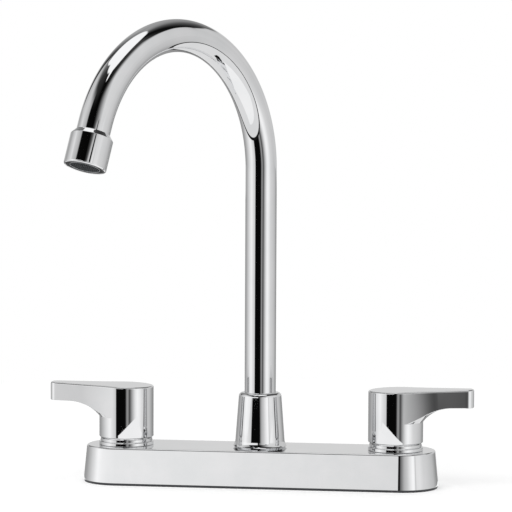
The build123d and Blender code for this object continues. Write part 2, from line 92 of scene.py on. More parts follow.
# %% Helper: a closed skin through rings
def skin(name, rings, capped=False):
    """Rings have one count of points. The last is joined to the first, or both get caps."""
    count = len(rings[0])
    points = [point for ring in rings for point in ring]
    faces = []
    for low in range(len(rings) - 1 if capped else len(rings)):
        high = (low + 1) % len(rings)
        for i in range(count):
            after = (i + 1) % count
            faces.append((low * count + i, low * count + after,
                          high * count + after, high * count + i))
    if capped:
        faces.append(list(range(count))[::-1])
        faces.append([(len(rings) - 1) * count + i for i in range(count)])
    piece = piece_from(name, points, faces)
    work = bmesh.new()
    work.from_mesh(piece.data)
    bmesh.ops.remove_doubles(work, verts=work.verts, dist=MERGE_DISTANCE)
    bmesh.ops.dissolve_degenerate(work, edges=work.edges, dist=MERGE_DISTANCE)
    work.to_mesh(piece.data)
    work.free()
    return piece


# %% [markdown]
# A turned piece only needs its half section. Corners on metal are never sharp, and the
# small round on each is what catches the light, so the section is a list of corners with a
# radius for each, and a helper rounds them.

# %% Helpers: rounded corners, and turning about the Z axis
def rounded(corners, steps=6):
    """Closed outline from (x, y, radius) corners, each round drawn in a few steps."""
    outline = []
    for i, (x, y, radius) in enumerate(corners):
        corner = Vector((x, y))
        if not radius:
            outline.append(corner)
            continue
        back = (Vector(corners[i - 1][:2]) - corner).normalized()
        ahead = (Vector(corners[(i + 1) % len(corners)][:2]) - corner).normalized()
        half = back.angle(ahead) / 2
        centre = corner + (back + ahead).normalized() * radius / sin(half)
        first = corner + back * radius / tan(half) - centre
        last = corner + ahead * radius / tan(half) - centre
        turn = first.angle_signed(last)
        for step in range(steps + 1):
            spoke = first.copy()
            spoke.rotate(Matrix.Rotation(-turn * step / steps, 2))
            outline.append(centre + spoke)
    return outline


def turned(name, section, place=Matrix(), sides=128):
    """Ring of metal from its closed half section, counter-clockwise as (radius, height)."""
    return skin(name, [[place @ Vector((*spot, height)) for spot in circle(radius, sides)]
                       for radius, height in section])


# %% [markdown]
# Smooth shading mixes the normals of neighbouring faces. Next to a tiny round a large flat
# would be bent by that, and on chrome it shows at once. Weighted normals let the
# largest face win, so flats stay flat and the round takes up all of the turn. What the
# modifiers make is then kept as the mesh, so nothing is left live on the piece.

# %% Helpers: settle the modifiers, and shade like machined metal
def settle(piece):
    graph = bpy.context.evaluated_depsgraph_get()
    made = bpy.data.meshes.new_from_object(piece.evaluated_get(graph), depsgraph=graph)
    piece.modifiers.clear()
    piece.data = made
    made.name = piece.name
    return piece


def crisp(piece, angle=35):
    piece.data.shade_smooth()
    piece.data.set_sharp_from_angle(angle=radians(angle))
    weights = piece.modifiers.new("weights", "WEIGHTED_NORMAL")
    weights.keep_sharp = True
    weights.weight = 100
    return settle(piece)


def cut(piece, tool, operation="DIFFERENCE"):
    """Takes the tool away from the piece, or adds it, and throws the tool away."""
    boolean = piece.modifiers.new("cut", "BOOLEAN")
    boolean.operation = operation
    boolean.solver = "EXACT"
    boolean.object = tool
    settle(piece)
    bpy.data.objects.remove(tool)
    return piece


def hand_over(piece, body, node, finish):
    """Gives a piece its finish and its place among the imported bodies."""
    piece.data.materials.clear()
    piece.data.materials.append(finish)
    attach(piece, body)
    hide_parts(node)
    low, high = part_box(node)
    corners = [piece.matrix_world @ vertex.co for vertex in piece.data.vertices]
    off = max(abs(end(corner[k] for corner in corners) - side[k])
              for end, side in ((min, low), (max, high)) for k in range(3))
    print(f"{piece.name}: {len(piece.data.polygons)} faces, box within {off / MM:.2f} mm of {node}")


# %% [markdown]
# ## Finishes
# A finish is a small tree of nodes. One function adds a node, sets it and links it, and four
# short ones do so for the kinds that come back often. Colours are written as sRGB hex values,
# as a colour picker shows them, and turned to the linear values that the shader works in.

# %% Helpers: nodes and colours
def add(tree, kind, links=None, **settings):
    node = tree.nodes.new(kind)
    for name, value in settings.items():
        setattr(node, name, value)
    for socket, value in (links or {}).items():
        if isinstance(value, bpy.types.NodeSocket):
            tree.links.new(value, node.inputs[socket])
        else:
            node.inputs[socket].default_value = value
    return node


def linear(code):
    values = [int(code[i:i + 2], 16) / 255 for i in (1, 3, 5)]
    return [v / 12.92 if v <= 0.04045 else ((v + 0.055) / 1.055) ** 2.4 for v in values] + [1.0]


def arithmetic(tree, operation, first, second=0.0):
    return add(tree, "ShaderNodeMath", {0: first, 1: second}, operation=operation).outputs[0]


def spread(tree, value, source, target, **settings):
    """A value mapped from one (low, high) range to another."""
    return add(tree, "ShaderNodeMapRange", {
        "Value": value, "From Min": source[0], "From Max": source[1],
        "To Min": target[0], "To Max": target[1]}, **settings).outputs["Result"]


def ramp(tree, value, stops):
    """Colours along a value, from (place, sRGB hex value or plain number) pairs."""
    node = add(tree, "ShaderNodeValToRGB", {"Fac": value})
    elements = node.color_ramp.elements
    while len(elements) < len(stops):
        elements.new(0.5)
    for element, (place, tone) in zip(elements, stops):
        element.position = place
        element.color = linear(tone) if isinstance(tone, str) else (tone, tone, tone, 1.0)
    return node.outputs["Color"]


def noise(tree, place, size_mm, detail, **sockets):
    return add(tree, "ShaderNodeTexNoise", {
        "Vector": place, "Scale": 1 / (size_mm * MM), "Detail": detail, **sockets}).outputs["Fac"]


# %% [markdown]
# Each finish starts from a shader that holds its constants, and ends with a colour, a
# roughness and a fine relief that vary over the piece by its Object coordinates.

# %% Helpers: start and end of a finish
def new_finish(name, roughness, metallic=0.0, ior=None, **sockets):
    """Material with a shader that holds its constants, and Object coordinates to build on."""
    material = bpy.data.materials.new(name)
    material.use_nodes = True
    tree = material.node_tree
    shader = tree.nodes["Principled BSDF"]
    shader.inputs["Roughness"].default_value = roughness
    shader.inputs["Metallic"].default_value = metallic
    if ior:
        shader.inputs["IOR"].default_value = ior
    for socket, value in sockets.items():
        shader.inputs[socket].default_value = value
    place = add(tree, "ShaderNodeTexCoord").outputs["Object"]
    return material, tree, shader, place


def end_finish(tree, shader, colour, roughness, height, strength, height_mm):
    relief = add(tree, "ShaderNodeBump", {"Height": height, "Strength": strength,
                                          "Distance": height_mm * MM})
    for socket, value in (("Base Color", colour), ("Roughness", roughness),
                          ("Normal", relief.outputs["Normal"])):
        tree.links.new(value, shader.inputs[socket])


# %% [markdown]
# ### Bright chrome plate
# The plate, handles and trim are cast zinc or brass, polished, plated with nickel and then
# with a film of chromium. It is the smoothest finish here, with a roughness of 0.01 to 0.03, and it
# keeps about three quarters of the light, so what is mirrored twice is clearly darker. Up close
# polish marks and wiping make the gloss uneven, and a casting is never quite flat: a
# wave of a thousandth of a millimetre makes reflections swim a little at edges.
# All scales are real lengths: the wave is about 25 mm long and the wiping marks about 2 mm wide.

# %% Finish: bright chrome plate
def chrome_finish(name, wave_mm, wave_height_mm):
    material, tree, shader, place = new_finish(name, 0.05, metallic=1.0)
    haze = noise(tree, place, 18, 4.0)
    wipe = add(tree, "ShaderNodeMapping", {"Vector": place, "Scale": (1.0, 1.0, 0.12)})
    marks = noise(tree, wipe.outputs["Vector"], 2, 6.0, Roughness=0.7)
    gloss = spread(tree, arithmetic(tree, "MULTIPLY", haze, marks), (0.15, 0.45), (0.01, 0.03))
    tint = ramp(tree, haze, [(0.3, "#DCDDDE"), (0.7, "#E2E2E3")])
    end_finish(tree, shader, tint, gloss, noise(tree, place, wave_mm, 1.0), 1.0, wave_height_mm)
    return material


cast_chrome = chrome_finish("bright_chrome_on_cast_zinc", 25, 0.0012)
turned_chrome = chrome_finish("bright_chrome_on_turned_brass", 30, 0.0006)
print("chrome finishes:", cast_chrome.name, turned_chrome.name)

# %% [markdown]
# ### Bare metals inside
# Brass bodies and stems are turned from bar, and the tool leaves rings round the axis that
# catch the light: they are drawn 0.4 mm apart, which is coarser than a real feed so that
# they show. The grub screws are stainless steel. The aerator's screen is stainless steel too,
# but its wire is coloured far darker than steel: that dark is painted shade of the recess in
# the mouth. Brass browns a little in patches.

# %% Finishes: brass, drawn brass tube, stainless steel, and screen steel with painted shade
def metal_finish(name, colours, roughness, groove_mm, along="Z"):
    material, tree, shader, place = new_finish(name, roughness, metallic=1.0)
    stain = noise(tree, place, 9, 5.0)
    colour = ramp(tree, stain, list(zip((0.35, 0.6, 0.75), colours)))
    rough = spread(tree, stain, (0.0, 1.0), (roughness - 0.08, roughness + 0.12))
    rings = add(tree, "ShaderNodeTexWave", {"Vector": place, "Scale": 2 * pi / (20 * groove_mm * MM),
                                            "Distortion": 0.6, "Detail": 2.0},
                wave_type="BANDS", bands_direction=along)
    end_finish(tree, shader, colour, rough, rings.outputs["Fac"], 0.4, 0.02)
    return material


brass = metal_finish("turned_brass", ("#C9A558", "#D9B766", "#B08A45"), 0.28, 0.4)
tube_brass = metal_finish("brass_of_drawn_tube", ("#CDA95C", "#DDBB6C", "#B48F4B"), 0.22, 0.6, "Y")
steel = metal_finish("stainless_steel", ("#A9ABAD", "#BCBEC0", "#989A9C"), 0.3, 0.3)
# the screen's wire is stainless steel, coloured far darker than the screws: painted shade of the recessed
# mouth
screen_steel_painted_shade = metal_finish("woven_stainless_wire_painted_shade", ("#3A3C3E", "#484A4C", "#2E3032"), 0.4, 0.35)
print("bare metals:", [m.name for m in (brass, tube_brass, steel, screen_steel_painted_shade)])

# %% [markdown]
# ### Plastics, rubber and ceramic
# The pad under the plate is dark moulded plastic with a fine spark eroded grain, the washers
# are milky nylon, the cartridge is grey acetal and the nuts below the sink are black
# ABS. Rubber is darker and duller, with a dusty bloom. The discs that turn the water off
# are lapped alumina: almost white, dense, and glossy as glazed porcelain.

# %% Finishes: moulded plastics, rubber and alumina
def moulded_finish(name, dark, light, roughness, grain_mm, ior, depth_mm=0.01, **sockets):
    material, tree, shader, place = new_finish(name, roughness, ior=ior, **sockets)
    grain = noise(tree, place, grain_mm, 3.0)
    mix = arithmetic(tree, "MULTIPLY", noise(tree, place, 14, 3.0), grain)
    colour = ramp(tree, mix, [(0.12, dark), (0.4, light)])
    rough = spread(tree, grain, (0.3, 0.7), (roughness - 0.07, roughness + 0.07))
    end_finish(tree, shader, colour, rough, grain, 0.5, depth_mm)
    return material


finishes = {
    "chrome_plated_zinc": cast_chrome,
    "chrome_plated_brass": turned_chrome,
    "machined_brass": brass,
    "drawn_brass_tube": tube_brass,
    "stainless_mesh": screen_steel_painted_shade,
    "stainless_screw": steel,
    "dark_plastic_gasket": moulded_finish("dark_moulded_pad", "#2C2D30", "#3D3E42", 0.55, 0.35, 1.49),
    "nylon_washer": moulded_finish("milky_nylon", "#DAD7CC", "#EDEAE0", 0.45, 0.5, 1.53),
    "grey_acetal": moulded_finish("moulded_acetal", "#6B6E72", "#83868A", 0.4, 0.4, 1.48),
    "black_plastic_nut": moulded_finish("black_abs", "#141416", "#232326", 0.42, 0.45, 1.54),
    "black_rubber": moulded_finish("bloomed_rubber", "#0D0D0E", "#1E1E20", 0.7, 0.3, 1.52),
    "alumina_disc": moulded_finish("lapped_alumina", "#E4E2DA", "#F3F1EA", 0.14, 0.6, 1.77, 0.001),
}
for part in frame["record"]["subparts"]:
    node = frame["nodes"][part["node"]]
    node.data.materials.clear()
    node.data.materials.append(finishes[part["material_slot"]])
print("every solid has one of", len(finishes), "finishes")

# %% [markdown]
# ## Spout tube
# The gooseneck is drawn tube, bent on a mandrel: a straight riser, one arc of constant
# radius and a short straight leg. It could be modelled as a bevelled curve, but the rule is simple
# enough for Geometry Nodes: at a distance s along the tube, the part beyond the riser turns
# it by (s - riser) / radius, at most by the whole bend, and what is left goes
# straight on. The tree places points by that rule and sweeps a circle along them, and its
# sizes are inputs, so the same tree makes a taller or a wider spout.

# %% Helpers: start and end of a tree of Geometry Nodes, and a piece grown from it
def new_tree(name, lengths, counts=()):
    """Tree with named inputs, and the function that adds a step of arithmetic to it."""
    tree = bpy.data.node_groups.new(name, "GeometryNodeTree")
    tree.is_modifier = True
    face = tree.interface
    face.new_socket("Geometry", in_out="OUTPUT", socket_type="NodeSocketGeometry")
    for names, kind in ((lengths, "Float"), (counts, "Int"), (["Finish"], "Material")):
        for name in names:
            face.new_socket(name, in_out="INPUT", socket_type="NodeSocket" + kind)
    return tree, add(tree, "NodeGroupInput").outputs, partial(arithmetic, tree)


def placed_line(tree, count, x, y, z):
    """Line of points, each moved to a place of its own."""
    line = add(tree, "GeometryNodeMeshLine", {"Count": count})
    spot = add(tree, "ShaderNodeCombineXYZ", {"X": x, "Y": y, "Z": z})
    placed = add(tree, "GeometryNodeSetPosition",
                 {"Geometry": line.outputs["Mesh"], "Position": spot.outputs["Vector"]})
    return placed.outputs["Geometry"]


def swept(tree, path, sides, radius, **sockets):
    """Mesh of a round profile swept along a path."""
    profile = add(tree, "GeometryNodeCurvePrimitiveCircle", {"Resolution": sides, "Radius": radius})
    return add(tree, "GeometryNodeCurveToMesh", {
        "Curve": path, "Profile Curve": profile.outputs["Curve"], **sockets}).outputs["Mesh"]


def end_tree(tree, given, geometry):
    real = add(tree, "GeometryNodeRealizeInstances", {"Geometry": geometry})
    coat = add(tree, "GeometryNodeSetMaterial",
               {"Geometry": real.outputs["Geometry"], "Material": given["Finish"]})
    add(tree, "NodeGroupOutput", {"Geometry": coat.outputs["Geometry"]})
    return tree


def grow(name, tree, sizes):
    """Object made by a tree of Geometry Nodes, with its inputs set by their identifiers."""
    piece = piece_from(name, [], [])
    grower = piece.modifiers.new("grow", "NODES")
    grower.node_group = tree
    for item in tree.interface.items_tree:
        if item.in_out == "INPUT" and item.name in sizes:
            grower[item.identifier] = sizes[item.name]
    return settle(piece)


# %% Spout tube: the tree
SPOUT_AZIMUTH = 240.0  # degrees from +X to the side that the spout reaches to
SPOUT_BOTTOM = 53.55
ARCH_START = 235.8
ARCH_RADIUS = 95.8
ARCH_TURN = 160.0
OUTLET_LEG = 6.1
SPOUT_RADIUS = 11.65
SPOUT_WALL = 0.95


def tube_tree():
    tree, given, math = new_tree(
        "bent_tube", ["Riser", "Bend Radius", "Bend Angle", "Leg", "Tube Radius", "Bottom"], ["Steps"])
    bend = math("MULTIPLY", given["Bend Radius"], given["Bend Angle"])
    whole = math("ADD", math("ADD", given["Riser"], bend), given["Leg"])
    share = math("DIVIDE", add(tree, "GeometryNodeInputIndex").outputs[0], given["Steps"])
    along = math("MULTIPLY", share, whole)
    past = math("MAXIMUM", math("SUBTRACT", along, given["Riser"]), 0.0)
    angle = math("MINIMUM", math("DIVIDE", past, given["Bend Radius"]), given["Bend Angle"])
    rest = math("MAXIMUM", math("SUBTRACT", past, bend), 0.0)
    sine, cosine = math("SINE", angle), math("COSINE", angle)
    out = math("MULTIPLY", math("SUBTRACT", 1.0, cosine), given["Bend Radius"])
    out = math("ADD", out, math("MULTIPLY", rest, sine))
    up = math("ADD", math("MINIMUM", along, given["Riser"]), given["Bottom"])
    up = math("ADD", up, math("MULTIPLY", sine, given["Bend Radius"]))
    up = math("ADD", up, math("MULTIPLY", rest, cosine))
    points = placed_line(tree, math("ADD", given["Steps"], 1.0), out, 0.0, up)
    path = add(tree, "GeometryNodeMeshToCurve", {"Mesh": points})
    return end_tree(tree, given, swept(tree, path.outputs["Curve"], 96, given["Tube Radius"]))


def turn_mesh(piece, matrix):
    piece.data.transform(matrix)
    piece.data.update()
    return piece


spout = grow("spout_tube_swept", tube_tree(), {
    "Riser": (ARCH_START - SPOUT_BOTTOM) * MM, "Bend Radius": ARCH_RADIUS * MM,
    "Bend Angle": radians(ARCH_TURN), "Leg": OUTLET_LEG * MM, "Tube Radius": SPOUT_RADIUS * MM,
    "Bottom": SPOUT_BOTTOM * MM, "Steps": 220, "Finish": turned_chrome})
print("swept tube:", len(spout.data.polygons), "faces")

# %% [markdown]
# The swept skin has no thickness yet. Solidify gives it the 0.95 mm wall, inwards, and closes
# both ends with rims. The whole is then turned to the side that the spout reaches to.

# %% Spout tube: its wall and its place
def has_outward_faces(piece):
    work = bmesh.new()
    work.from_mesh(piece.data)
    volume = work.calc_volume(signed=True)
    work.free()
    return volume > 0


if spout.data.polygons[0].normal.dot(spout.data.polygons[0].center) < 0:
    spout.data.flip_normals()
wall = spout.modifiers.new("wall", "SOLIDIFY")
wall.thickness = SPOUT_WALL * MM
wall.offset = -1
settle(spout)
turn_mesh(spout, Matrix.Rotation(radians(SPOUT_AZIMUTH), 4, "Z"))
crisp(spout)
hand_over(spout, "spout", "spout_tube", turned_chrome)
print("closed and outward:", has_outward_faces(spout))

# %% [markdown]
# ## Aerator housing
# A turned brass sleeve screwed on the end of the tube. Its neck is just wider than the tube,
# a short cone widens to the barrel, and the rim at the mouth is rounded. The frame of the
# outlet has its Z axis along the way the water leaves.

# %% Aerator housing
AERATOR_LENGTH = 24.9
AERATOR_RADIUS = SPOUT_RADIUS + 3.15
AERATOR_NECK = SPOUT_RADIUS + 0.65
AERATOR_BORE = AERATOR_RADIUS - 1.55
NECK_BORE = AERATOR_NECK - 0.85
SEAT_DEPTH = 9.0


def outlet_place():
    turn = radians(ARCH_TURN)
    reach = ARCH_RADIUS * (1 - cos(turn)) + OUTLET_LEG * sin(turn)
    height = ARCH_START + ARCH_RADIUS * sin(turn) + OUTLET_LEG * cos(turn)
    return (Matrix.Rotation(radians(SPOUT_AZIMUTH), 4, "Z") @ Matrix.Translation((reach, 0, height))
            @ Matrix.Rotation(turn, 4, "Y"))


outlet = outlet_place()
outlet_in_metres = Matrix.Scale(MM, 4) @ outlet @ Matrix.Scale(1 / MM, 4)
housing = turned("aerator_housing_turned", rounded([
    (NECK_BORE, 0.05, 0), (AERATOR_NECK, 0.05, 0.2), (AERATOR_NECK + 0.25, 0.5, 0.2),
    (AERATOR_RADIUS, 3.3, 0.9), (AERATOR_RADIUS, AERATOR_LENGTH, 1.1),
    (AERATOR_BORE, AERATOR_LENGTH, 0.3), (AERATOR_BORE, SEAT_DEPTH, 0),
    (NECK_BORE, SEAT_DEPTH, 0)]), outlet)
crisp(housing, 50)
hand_over(housing, "spout", "aerator_housing", turned_chrome)

# %% [markdown]
# ## Aerator outlet
# In the mouth sits a cup with a steel ring that clamps a woven wire screen, and a black rubber
# ring seals round it. The two rings are turned, almost flush with the mouth, with eased edges.

# %% Aerator outlet: seal and clamp ring
INSERT_RADIUS = AERATOR_BORE - 1.6
SCREEN_RADIUS = INSERT_RADIUS - 1.4
CLAMP_RADIUS = SCREEN_RADIUS + 0.4
SEAL_BOTTOM, SEAL_LEDGE, SEAL_TOP = [AERATOR_LENGTH - depth for depth in (4.5, 0.85, 0.15)]
CLAMP_TOP, SCREEN_HEIGHT = AERATOR_LENGTH - 0.1, AERATOR_LENGTH - 0.6
seal = turned("aerator_seal_ring", rounded([
    (INSERT_RADIUS + 0.05, SEAL_BOTTOM, 0), (AERATOR_BORE - 0.02, SEAL_BOTTOM, 0),
    (AERATOR_BORE - 0.02, SEAL_TOP, 0.3), (CLAMP_RADIUS, SEAL_TOP, 0.3),
    (CLAMP_RADIUS, SEAL_LEDGE, 0), (INSERT_RADIUS + 0.05, SEAL_LEDGE, 0)]), outlet)
crisp(seal, 50)
hand_over(seal, "spout", "aerator_seal", finishes["black_rubber"])
clamp = turned("aerator_clamp_ring", rounded([
    (SCREEN_RADIUS - 0.1, SEAL_LEDGE, 0), (CLAMP_RADIUS - 0.02, SEAL_LEDGE, 0),
    (CLAMP_RADIUS - 0.02, CLAMP_TOP, 0.25), (SCREEN_RADIUS - 0.1, CLAMP_TOP, 0.25)]), outlet)
crisp(clamp, 50)
clamp.data.materials.append(steel)
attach(clamp, "spout")
print("clamp ring:", len(clamp.data.polygons), "faces")

# %% [markdown]
# The screen is plain weave: each wire is a sine wave that goes over one crossing wire and under the
# next, and its neighbour is the same wire pushed along by one pitch. Geometry Nodes bend
# one wire, set it out in rows, set the same wire out in columns turned by a quarter, and drop what
# lies outside the round. Real screens have some 0.3 mm between wires, drawn here 0.9 mm apart so
# that they show.

# %% Aerator outlet: the woven screen
def woven_tree():
    tree, given, math = new_tree("plain_weave", ["Pitch", "Wire Radius", "Screen Radius"], ["Wires"])
    index = add(tree, "GeometryNodeInputIndex").outputs[0]
    pitch, wires = given["Pitch"], given["Wires"]

    # one wire: four steps for each pitch, and three pitches longer than the screen is wide
    start = math("ADD", math("MULTIPLY", wires, 0.5), 2.0)
    along = math("SUBTRACT", math("MULTIPLY", index, 0.25), start)
    wave = math("MULTIPLY", math("SINE", math("MULTIPLY", along, pi)), given["Wire Radius"])
    steps = math("MULTIPLY", math("ADD", wires, 3.0), 4.0)
    points = placed_line(tree, steps, math("MULTIPLY", along, pitch), 0.0, wave)
    path = add(tree, "GeometryNodeMeshToCurve", {"Mesh": points})
    wire = swept(tree, path.outputs["Curve"], 5, given["Wire Radius"])
    # rows run along X, columns along Y, half a pitch further on
    place = math("SUBTRACT", index, math("MULTIPLY", wires, 0.5))
    push = math("MODULO", index, 2.0)
    rows = placed_line(tree, wires, math("MULTIPLY", push, pitch), math("MULTIPLY", place, pitch), 0.0)
    columns = placed_line(tree, wires, math("MULTIPLY", math("ADD", place, 0.5), pitch),
                          math("MULTIPLY", math("ADD", push, 0.5), pitch), 0.0)
    woven = add(tree, "GeometryNodeJoinGeometry")
    for points, turn in ((rows, 0.0), (columns, pi / 2)):
        set_out = add(tree, "GeometryNodeInstanceOnPoints", {"Points": points, "Instance": wire,
                                                             "Rotation": (0.0, 0.0, turn)})
        tree.links.new(set_out.outputs["Instances"], woven.inputs["Geometry"])
    real = add(tree, "GeometryNodeRealizeInstances", {"Geometry": woven.outputs["Geometry"]})
    flat = add(tree, "ShaderNodeVectorMath", {0: add(tree, "GeometryNodeInputPosition").outputs[0],
                                              1: (1.0, 1.0, 0.0)}, operation="MULTIPLY")
    reach = add(tree, "ShaderNodeVectorMath", {0: flat.outputs["Vector"]}, operation="LENGTH")
    outside = math("GREATER_THAN", reach.outputs["Value"], given["Screen Radius"])
    round_cut = add(tree, "GeometryNodeDeleteGeometry", {"Geometry": real.outputs["Geometry"],
                                                         "Selection": outside})
    return end_tree(tree, given, round_cut.outputs["Geometry"])


# the screen's dark finish is painted shade of the aerator's mouth, not the colour of stainless steel
screen = grow("aerator_screen_woven", woven_tree(), {
    "Pitch": 0.9 * MM, "Wire Radius": 0.21 * MM, "Screen Radius": SCREEN_RADIUS * MM, "Wires": 24,
    "Finish": screen_steel_painted_shade})
turn_mesh(screen, outlet_in_metres @ Matrix.Translation((0, 0, SCREEN_HEIGHT * MM)))
screen.data.shade_smooth()
hand_over(screen, "spout", "aerator_screen", screen_steel_painted_shade)

# %% [markdown]
# ## Collar
# The bell shaped nut at the foot of the spout hides the swivel. Its side is a straight taper
# that flares in a soft curve to a thin lip just above the plate. The flare is one arc that
# leaves the taper without a kink, so its centre lies square to the taper, at the distance
# that brings the arc through the lip.

# %% Collar
PLATE_TOP = 27.6
COLLAR_TOP, COLLAR_TOP_RADIUS, COLLAR_FOOT = 68.8, 15.7, 18.9
COLLAR_BORE, RISER_BORE, BORE_STEP = 14.0, 11.8, 55.1


def tangent_arc(start, heading, end, steps):
    """Points of the arc that leaves start along heading and ends at end."""
    start, heading, end = Vector(start), Vector(heading).normalized(), Vector(end)
    square = Vector((-heading.y, heading.x))
    chord = end - start
    radius = chord.length_squared / (2 * chord.dot(square))
    centre = start + square * radius
    turn = (start - centre).angle_signed(end - centre)
    spokes = [Matrix.Rotation(-turn * step / steps, 2) @ (start - centre) for step in range(steps + 1)]
    return [centre + spoke for spoke in spokes]


waist, lip = (18.4, 32.8), (20.1, PLATE_TOP + 1.3)
flare = tangent_arc(waist, (waist[0] - COLLAR_TOP_RADIUS, waist[1] - COLLAR_TOP), lip, 14)[::-1]
upper = rounded([
    (COLLAR_BORE, 40.0, 0), (*waist, 0), (COLLAR_TOP_RADIUS, COLLAR_TOP, 3.0),
    (RISER_BORE, COLLAR_TOP, 0.3), (RISER_BORE, BORE_STEP, 0), (COLLAR_BORE, BORE_STEP, 0)], 10)
foot = [Vector((COLLAR_BORE, PLATE_TOP)), Vector((COLLAR_FOOT, PLATE_TOP))]
collar_section = foot + flare + upper[2:]  # the first two corners only gave the way in and out
collar = crisp(turned("spout_collar_turned", collar_section))
hand_over(collar, "base", "spout_collar", turned_chrome)

# %% [markdown]
# ## Trim rings
# A turned ring lies between the plate and each handle. Its foot is a low band with eased edges,
# and above a fine groove its neck is drawn in a little, so that the handle seems to float. It is
# screwed down the valve body, so its bore has a step that the nut below the handle would clamp,
# and a lip reaches up into the handle and closes the gap to the eye.

# %% Trim rings
HALF_SPACING = 101.6
HUB_RADIUS = 20.4
RING_RADIUS, RING_TOP, RING_NECK, RING_LIP = 20.6, 32.6, 19.5, 17.0
GROOVE_LOW, GROOVE_HIGH, GROOVE_BOTTOM = 30.25, 30.6, 18.6
RING_DRAFT = tan(radians(3.5))
RING_BORE, NUT_BORE = 14.35, 13.1
SIDES = ((-1, "hot"), (1, "cold"))
band_top = RING_RADIUS - (GROOVE_LOW - PLATE_TOP) * RING_DRAFT
neck_top = RING_NECK - (RING_TOP - GROOVE_HIGH) * RING_DRAFT
for side, name in SIDES:
    section = rounded([
        (RING_BORE, PLATE_TOP, 0), (RING_RADIUS, PLATE_TOP, 0.5), (band_top, GROOVE_LOW, 0.5),
        (GROOVE_BOTTOM, GROOVE_LOW, 0), (GROOVE_BOTTOM, GROOVE_HIGH, 0), (RING_NECK, GROOVE_HIGH, 0.15),
        (neck_top, RING_TOP, 0.3), (RING_LIP, RING_TOP, 0), (RING_LIP, RING_TOP + 0.8, 0.2),
        (RING_BORE, RING_TOP + 0.8, 0), (RING_BORE, RING_TOP, 0), (NUT_BORE, RING_TOP, 0),
        (NUT_BORE, RING_TOP - 1.0, 0), (RING_BORE, RING_TOP - 1.0, 0)])
    ring = turned(f"{name}_trim_ring_turned", section, Matrix.Translation((side * HALF_SPACING, 0, 0)))
    crisp(ring, 50)
    hand_over(ring, "base", f"{name}_trim_ring", turned_chrome)

# %% [markdown]
# ## Deck plate
# A die cast shell, drafted by 5.6 degrees so that it leaves the mould, with a small round
# along the top edge. Its rings are rounded rectangles that shrink as they rise. Under the
# plate they go back down the inside, 2.2 mm further in, and three round tools cut the holes
# for the valves and the spout.

# %% Deck plate
PLATE_LENGTH, PLATE_WIDTH, PLATE_CORNER = 267.0, 59.0, 28.0
PLATE_DRAFT = radians(5.6)
PLATE_EDGE = 1.3
PLATE_WALL = 2.2
PAD = 1.8  # thickness of the pad below the plate
VALVE_HOLE, SPOUT_HOLE = 14.6, 14.25


def plate_ring(inset, height, steps=24):
    """Rounded rectangle, counter-clockwise, drawn in from the foot of the plate."""
    ring = []
    radius = PLATE_CORNER - inset
    for quarter in range(4):
        middle = ((1, 1), (-1, 1), (-1, -1), (1, -1))[quarter]
        x = middle[0] * (PLATE_LENGTH / 2 - PLATE_CORNER)
        y = middle[1] * (PLATE_WIDTH / 2 - PLATE_CORNER)
        for step in range(steps + 1):
            angle = radians(90) * (quarter + step / steps)
            ring.append((x + radius * cos(angle), y + radius * sin(angle), height))
    return ring


plate_rings = [plate_ring(0.0, PAD)]
centre_z = PLATE_TOP - PLATE_EDGE
drawn_in = (centre_z + PLATE_EDGE * sin(PLATE_DRAFT) - PAD) * tan(PLATE_DRAFT)
centre_in = drawn_in + PLATE_EDGE * cos(PLATE_DRAFT)
for step in range(9):
    angle = PLATE_DRAFT + (pi / 2 - PLATE_DRAFT) * step / 8
    plate_rings.append(plate_ring(centre_in - PLATE_EDGE * cos(angle), centre_z + PLATE_EDGE * sin(angle)))
plate = skin("deck_plate_cast", plate_rings, capped=True)
roof = PLATE_TOP - PLATE_WALL
hollow = [plate_ring(PLATE_WALL - 0.1, PAD - 1.0),
          plate_ring(PLATE_WALL + (roof - PAD) * tan(PLATE_DRAFT), roof)]
cut(plate, skin("hollow", hollow, capped=True))
for x, radius in ((-HALF_SPACING, VALVE_HOLE), (0.0, SPOUT_HOLE), (HALF_SPACING, VALVE_HOLE)):
    drill = [[(*spot, height) for spot in circle(radius, 64, x)] for height in (20.0, 30.0)]
    cut(plate, skin("drill", drill, capped=True))
crisp(plate)
hand_over(plate, "base", "deck_plate", cast_chrome)

# %% [markdown]
# ## Lever handles
# The handle is what a hand and an eye meet first: a cast hub that runs through soft concave
# radii into a lever, which tapers to a squared tip. Its top climbs by a degree and a half, and
# its underside is a hollow turned about the hub's own axis. So the mesh follows how it is cast:
# the plan outline gives the columns, and each column runs up the hub, out along the
# underside by the turned hollow, up the wall, and over the rounded edge onto the top.

# %% Lever handle: plan outline
HUB_BOTTOM, HUB_TOP, HUB_BORE, HUB_ROOF = 33.5, 72.4, 17.4, 66.0
LEVER_LENGTH, LEVER_TIP_WIDTH, LEVER_TAPER = 57.8, 12.6, radians(12.0)
LEVER_BLEND, LEVER_TIP_CORNER = 170.0, 5.5
LEVER_UNDERSIDE, LEVER_ARCH, LEVER_ARCH_REACH = 60.3, 28.3, 43.0
LEVER_RISE = radians(1.5)
HANDLE_EDGE, FOOT_EDGE = 1.2, 0.7
BOSS_RADIUS, BOSS_BORE, BOSS_BOTTOM, BOSS_DEPTH = 8.0, 4.05, 46.5, 60.5
SCREW_HOLE, SCREW_HEIGHT = 2.05, 53.0


